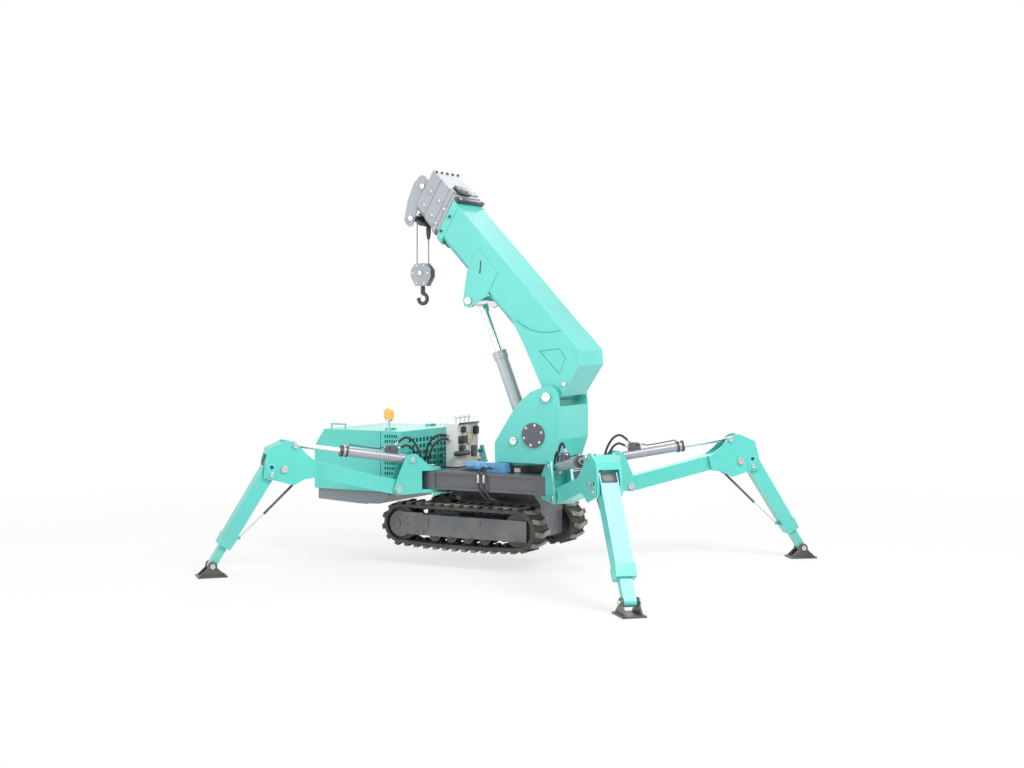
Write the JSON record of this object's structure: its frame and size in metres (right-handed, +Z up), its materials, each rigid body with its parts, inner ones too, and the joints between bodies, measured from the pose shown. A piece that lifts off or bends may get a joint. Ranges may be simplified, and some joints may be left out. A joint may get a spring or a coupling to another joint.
{
  "type": "spider crane",
  "caption": "Narrow tracked crane standing on four folding outriggers, with a slewing post and telescopic boom raised over its engine housing.",
  "frame": {"origin": "on the ground, in the middle of the outline of the four outrigger feet", "axes": "+Z up, +X from the engine end to the post end, +Y to the machine's far side in the picture"},
  "size_m": [3.4613, 3.2098, 2.8062],
  "materials": {
    "paint_teal": "gloss paint",
    "paint_grey": "satin paint",
    "paint_dark": "dark satin paint",
    "rubber_track": "worn rubber",
    "chrome_rod": "polished rod",
    "steel_silver": "bare steel",
    "motor_blue": "gloss paint",
    "lamp_amber": "moulded amber lens",
    "iron_dark": "black iron",
    "panel_pale": "pale paint",
    "rope_steel": "wire rope"
  },
  "bodies": {
    "chassis": {"chassis_frame": "paint_grey", "slewing_ring": "paint_dark", "slew_drive": "motor_blue", "front_enclosure": "paint_teal", "belly_guard": "paint_grey", "engine_block": "iron_dark", "console": "panel_pale", "beacon_stem": "paint_dark", "beacon_lamp": "lamp_amber", "track_near": "rubber_track", "track_far": "rubber_track", "track_wheels_near": "paint_dark", "track_wheels_far": "paint_dark", "track_beam_near": "paint_dark", "track_beam_far": "paint_dark"},
    "hood": {"engine_hood": "paint_teal"},
    "turret": {"post": "paint_teal", "winch": "paint_grey"},
    "boom_base": {"boom_base": "paint_teal"},
    "boom_2": {"boom_section_2": "paint_grey"},
    "boom_3": {"boom_section_3": "paint_grey"},
    "boom_4": {"boom_section_4": "paint_grey"},
    "boom_5": {"boom_section_5": "paint_grey", "boom_head": "paint_grey", "head_sheaves": "iron_dark", "rope_anchor": "paint_dark"},
    "luff_barrel": {"luff_barrel": "steel_silver"},
    "luff_rod": {"luff_rod": "chrome_rod"},
    "hook_ropes": {"rope_falls": "rope_steel"},
    "hook_block": {"hook_block": "paint_grey"},
    "hook": {"hook": "iron_dark"},
    "rear_near_bracket": {"rear_near_bracket": "paint_teal"},
    "rear_near_arm": {"rear_near_arm": "paint_teal"},
    "rear_near_leg": {"rear_near_leg": "paint_teal"},
    "rear_near_foot": {"rear_near_foot": "iron_dark"},
    "rear_near_lift_barrel": {"rear_near_lift_barrel": "steel_silver"},
    "rear_near_lift_rod": {"rear_near_lift_rod": "chrome_rod"},
    "front_near_bracket": {"front_near_bracket": "paint_teal"},
    "front_near_arm": {"front_near_arm": "paint_teal"},
    "front_near_leg": {"front_near_leg": "paint_teal"},
    "front_near_foot": {"front_near_foot": "iron_dark"},
    "front_near_lift_barrel": {"front_near_lift_barrel": "steel_silver"},
    "front_near_lift_rod": {"front_near_lift_rod": "chrome_rod"},
    "front_far_bracket": {"front_far_bracket": "paint_teal"},
    "front_far_arm": {"front_far_arm": "paint_teal"},
    "front_far_leg": {"front_far_leg": "paint_teal"},
    "front_far_foot": {"front_far_foot": "iron_dark"},
    "front_far_lift_barrel": {"front_far_lift_barrel": "steel_silver"},
    "front_far_lift_rod": {"front_far_lift_rod": "chrome_rod"},
    "rear_far_bracket": {"rear_far_bracket": "paint_teal"},
    "rear_far_arm": {"rear_far_arm": "paint_teal"},
    "rear_far_leg": {"rear_far_leg": "paint_teal"},
    "rear_far_foot": {"rear_far_foot": "iron_dark"},
    "rear_far_lift_barrel": {"rear_far_lift_barrel": "steel_silver"},
    "rear_far_lift_rod": {"rear_far_lift_rod": "chrome_rod"}
  },
  "joints": [
    {"name": "slew", "type": "hinge", "parent": "chassis", "child": "turret", "pos_m": [-0.01313, 0, 0.745], "axis": [0, 0, 1], "continuous": true},
    {"name": "boom_luff", "type": "hinge", "parent": "turret", "child": "boom_base", "pos_m": [0.29587, 0, 1.205], "axis": [0, -1, 0], "range_deg": [-31.25, 34.25]},
    {"name": "boom_extend_2", "type": "slide", "parent": "boom_base", "child": "boom_2", "axis": [-0.6852, 0, 0.7284], "range_m": [0, 1.1]},
    {"name": "boom_extend_3", "type": "slide", "parent": "boom_2", "child": "boom_3", "axis": [-0.6852, 0, 0.7284], "range_m": [0, 1.1]},
    {"name": "boom_extend_4", "type": "slide", "parent": "boom_3", "child": "boom_4", "axis": [-0.6852, 0, 0.7284], "range_m": [0, 1.1]},
    {"name": "boom_extend_5", "type": "slide", "parent": "boom_4", "child": "boom_5", "axis": [-0.6852, 0, 0.7284], "range_m": [0, 1.1]},
    {"name": "luff_barrel_swing", "type": "hinge", "parent": "turret", "child": "luff_barrel", "pos_m": [0.03787, 0, 0.895], "axis": [0, -1, 0], "range_deg": [-26.61, 29.07]},
    {"name": "luff_rod_slide", "type": "slide", "parent": "luff_barrel", "child": "luff_rod", "axis": [-0.3675, 0, 0.93], "range_m": [-0.21534, 0.19648]},
    {"name": "hook_plumb", "type": "hinge", "parent": "boom_5", "child": "hook_ropes", "pos_m": [-0.84336, 0, 2.47004], "axis": [0, 1, 0], "range_deg": [-31.75, 34.75]},
    {"name": "hook_hoist", "type": "slide", "parent": "hook_ropes", "child": "hook_block", "axis": [0, 0, -1], "range_m": [-0.1, 0.55], "deforming": ["rope_falls"]},
    {"name": "hook_turn", "type": "hinge", "parent": "hook_block", "child": "hook", "pos_m": [-0.84236, 0, 1.985], "axis": [0, 0, 1], "continuous": true},
    {"name": "hood_tilt", "type": "hinge", "parent": "chassis", "child": "hood", "pos_m": [-0.95313, 0, 0.9545], "axis": [0, -1, 0], "range_deg": [-60, 0]},
    {"name": "rear_near_swing", "type": "hinge", "parent": "chassis", "child": "rear_near_bracket", "pos_m": [-0.57113, -0.33, 0.675], "axis": [0, 0, -1], "range_deg": [-40, 8]},
    {"name": "rear_near_arm_lift", "type": "hinge", "parent": "rear_near_bracket", "child": "rear_near_arm", "pos_m": [-0.74176, -0.5195, 0.551], "axis": [0.7431, -0.6691, 0], "range_deg": [-55, 8]},
    {"name": "rear_near_leg_fold", "type": "hinge", "parent": "rear_near_arm", "child": "rear_near_leg", "pos_m": [-1.28242, -1.11996, 0.72], "axis": [-0.7431, 0.6691, 0], "range_deg": [-102, 0]},
    {"name": "rear_near_foot_tilt", "type": "hinge", "parent": "rear_near_leg", "child": "rear_near_foot", "pos_m": [-1.60828, -1.48187, 0.076], "axis": [0.7431, -0.6691, 0], "range_deg": [-15, 15]},
    {"name": "rear_near_lift_barrel_swing", "type": "hinge", "parent": "rear_near_bracket", "child": "rear_near_lift_barrel", "pos_m": [-0.67685, -0.44742, 0.755], "axis": [0.7431, -0.6691, 0], "range_deg": [-57.23, 8.32]},
    {"name": "rear_near_lift_rod_slide", "type": "slide", "parent": "rear_near_lift_barrel", "child": "rear_near_lift_rod", "axis": [-0.6616, -0.7348, 0.1495], "range_m": [-0.21425, 0.03116]},
    {"name": "front_near_swing", "type": "hinge", "parent": "chassis", "child": "front_near_bracket", "pos_m": [0.38687, -0.33, 0.675], "axis": [0, 0, 1], "range_deg": [-40, 8]},
    {"name": "front_near_arm_lift", "type": "hinge", "parent": "front_near_bracket", "child": "front_near_arm", "pos_m": [0.56401, -0.51343, 0.551], "axis": [0.7193, 0.6947, 0], "range_deg": [-55, 8]},
    {"name": "front_near_leg_fold", "type": "hinge", "parent": "front_near_arm", "child": "front_near_leg", "pos_m": [1.12529, -1.09466, 0.72], "axis": [-0.7193, -0.6947, 0], "range_deg": [-102, 0]},
    {"name": "front_near_foot_tilt", "type": "hinge", "parent": "front_near_leg", "child": "front_near_foot", "pos_m": [1.46359, -1.44498, 0.076], "axis": [0.7193, 0.6947, 0], "range_deg": [-15, 15]},
    {"name": "front_near_lift_barrel_swing", "type": "hinge", "parent": "front_near_bracket", "child": "front_near_lift_barrel", "pos_m": [0.49662, -0.44366, 0.755], "axis": [0.7193, 0.6947, 0], "range_deg": [-57.23, 8.32]},
    {"name": "front_near_lift_rod_slide", "type": "slide", "parent": "front_near_lift_barrel", "child": "front_near_lift_rod", "axis": [0.6869, -0.7113, 0.1495], "range_m": [-0.21425, 0.03116]},
    {"name": "front_far_swing", "type": "hinge", "parent": "chassis", "child": "front_far_bracket", "pos_m": [0.38687, 0.33, 0.675], "axis": [0, 0, -1], "range_deg": [-40, 8]},
    {"name": "front_far_arm_lift", "type": "hinge", "parent": "front_far_bracket", "child": "front_far_arm", "pos_m": [0.58781, 0.48699, 0.551], "axis": [-0.6157, 0.788, 0], "range_deg": [-55, 8]},
    {"name": "front_far_leg_fold", "type": "hinge", "parent": "front_far_arm", "child": "front_far_leg", "pos_m": [1.22452, 0.98445, 0.72], "axis": [0.6157, -0.788, 0], "range_deg": [-102, 0]},
    {"name": "front_far_foot_tilt", "type": "hinge", "parent": "front_far_leg", "child": "front_far_foot", "pos_m": [1.60828, 1.28428, 0.076], "axis": [-0.6157, 0.788, 0], "range_deg": [-15, 15]},
    {"name": "front_far_lift_barrel_swing", "type": "hinge", "parent": "front_far_bracket", "child": "front_far_lift_barrel", "pos_m": [0.51137, 0.42728, 0.755], "axis": [-0.6157, 0.788, 0], "range_deg": [-57.23, 8.32]},
    {"name": "front_far_lift_rod_slide", "type": "slide", "parent": "front_far_lift_barrel", "child": "front_far_lift_rod", "axis": [0.7792, 0.6087, 0.1495], "range_m": [-0.21425, 0.03116]},
    {"name": "rear_far_swing", "type": "hinge", "parent": "chassis", "child": "rear_far_bracket", "pos_m": [-0.57113, 0.33, 0.675], "axis": [0, 0, 1], "range_deg": [-40, 8]},
    {"name": "rear_far_arm_lift", "type": "hinge", "parent": "rear_far_bracket", "child": "rear_far_arm", "pos_m": [-0.74176, 0.5195, 0.551], "axis": [-0.7431, -0.6691, 0], "range_deg": [-55, 8]},
    {"name": "rear_far_leg_fold", "type": "hinge", "parent": "rear_far_arm", "child": "rear_far_leg", "pos_m": [-1.28242, 1.11996, 0.72], "axis": [0.7431, 0.6691, 0], "range_deg": [-102, 0]},
    {"name": "rear_far_foot_tilt", "type": "hinge", "parent": "rear_far_leg", "child": "rear_far_foot", "pos_m": [-1.60828, 1.48187, 0.076], "axis": [-0.7431, -0.6691, 0], "range_deg": [-15, 15]},
    {"name": "rear_far_lift_barrel_swing", "type": "hinge", "parent": "rear_far_bracket", "child": "rear_far_lift_barrel", "pos_m": [-0.67685, 0.44742, 0.755], "axis": [-0.7431, -0.6691, 0], "range_deg": [-57.23, 8.32]},
    {"name": "rear_far_lift_rod_slide", "type": "slide", "parent": "rear_far_lift_barrel", "child": "rear_far_lift_rod", "axis": [-0.6616, 0.7348, 0.1495], "range_m": [-0.21425, 0.03116]}
  ],
  "couplings": [
    {"joint": "boom_extend_3", "follows": "boom_extend_2", "ratio": 1},
    {"joint": "boom_extend_4", "follows": "boom_extend_2", "ratio": 1},
    {"joint": "boom_extend_5", "follows": "boom_extend_2", "ratio": 1},
    {"joint": "luff_barrel_swing", "follows": "boom_luff", "ratio": 0.81952},
    {"joint": "luff_rod_slide", "follows": "boom_luff", "m_per_rad": -0.35317},
    {"joint": "hook_plumb", "follows": "boom_luff", "ratio": 1},
    {"joint": "rear_near_lift_barrel_swing", "follows": "rear_near_arm_lift", "ratio": 1.0202},
    {"joint": "rear_near_lift_rod_slide", "follows": "rear_near_arm_lift", "m_per_rad": 0.21882},
    {"joint": "front_near_lift_barrel_swing", "follows": "front_near_arm_lift", "ratio": 1.0202},
    {"joint": "front_near_lift_rod_slide", "follows": "front_near_arm_lift", "m_per_rad": 0.21882},
    {"joint": "front_far_lift_barrel_swing", "follows": "front_far_arm_lift", "ratio": 1.0202},
    {"joint": "front_far_lift_rod_slide", "follows": "front_far_arm_lift", "m_per_rad": 0.21882},
    {"joint": "rear_far_lift_barrel_swing", "follows": "rear_far_arm_lift", "ratio": 1.0202},
    {"joint": "rear_far_lift_rod_slide", "follows": "rear_far_arm_lift", "m_per_rad": 0.21882}
  ]
}
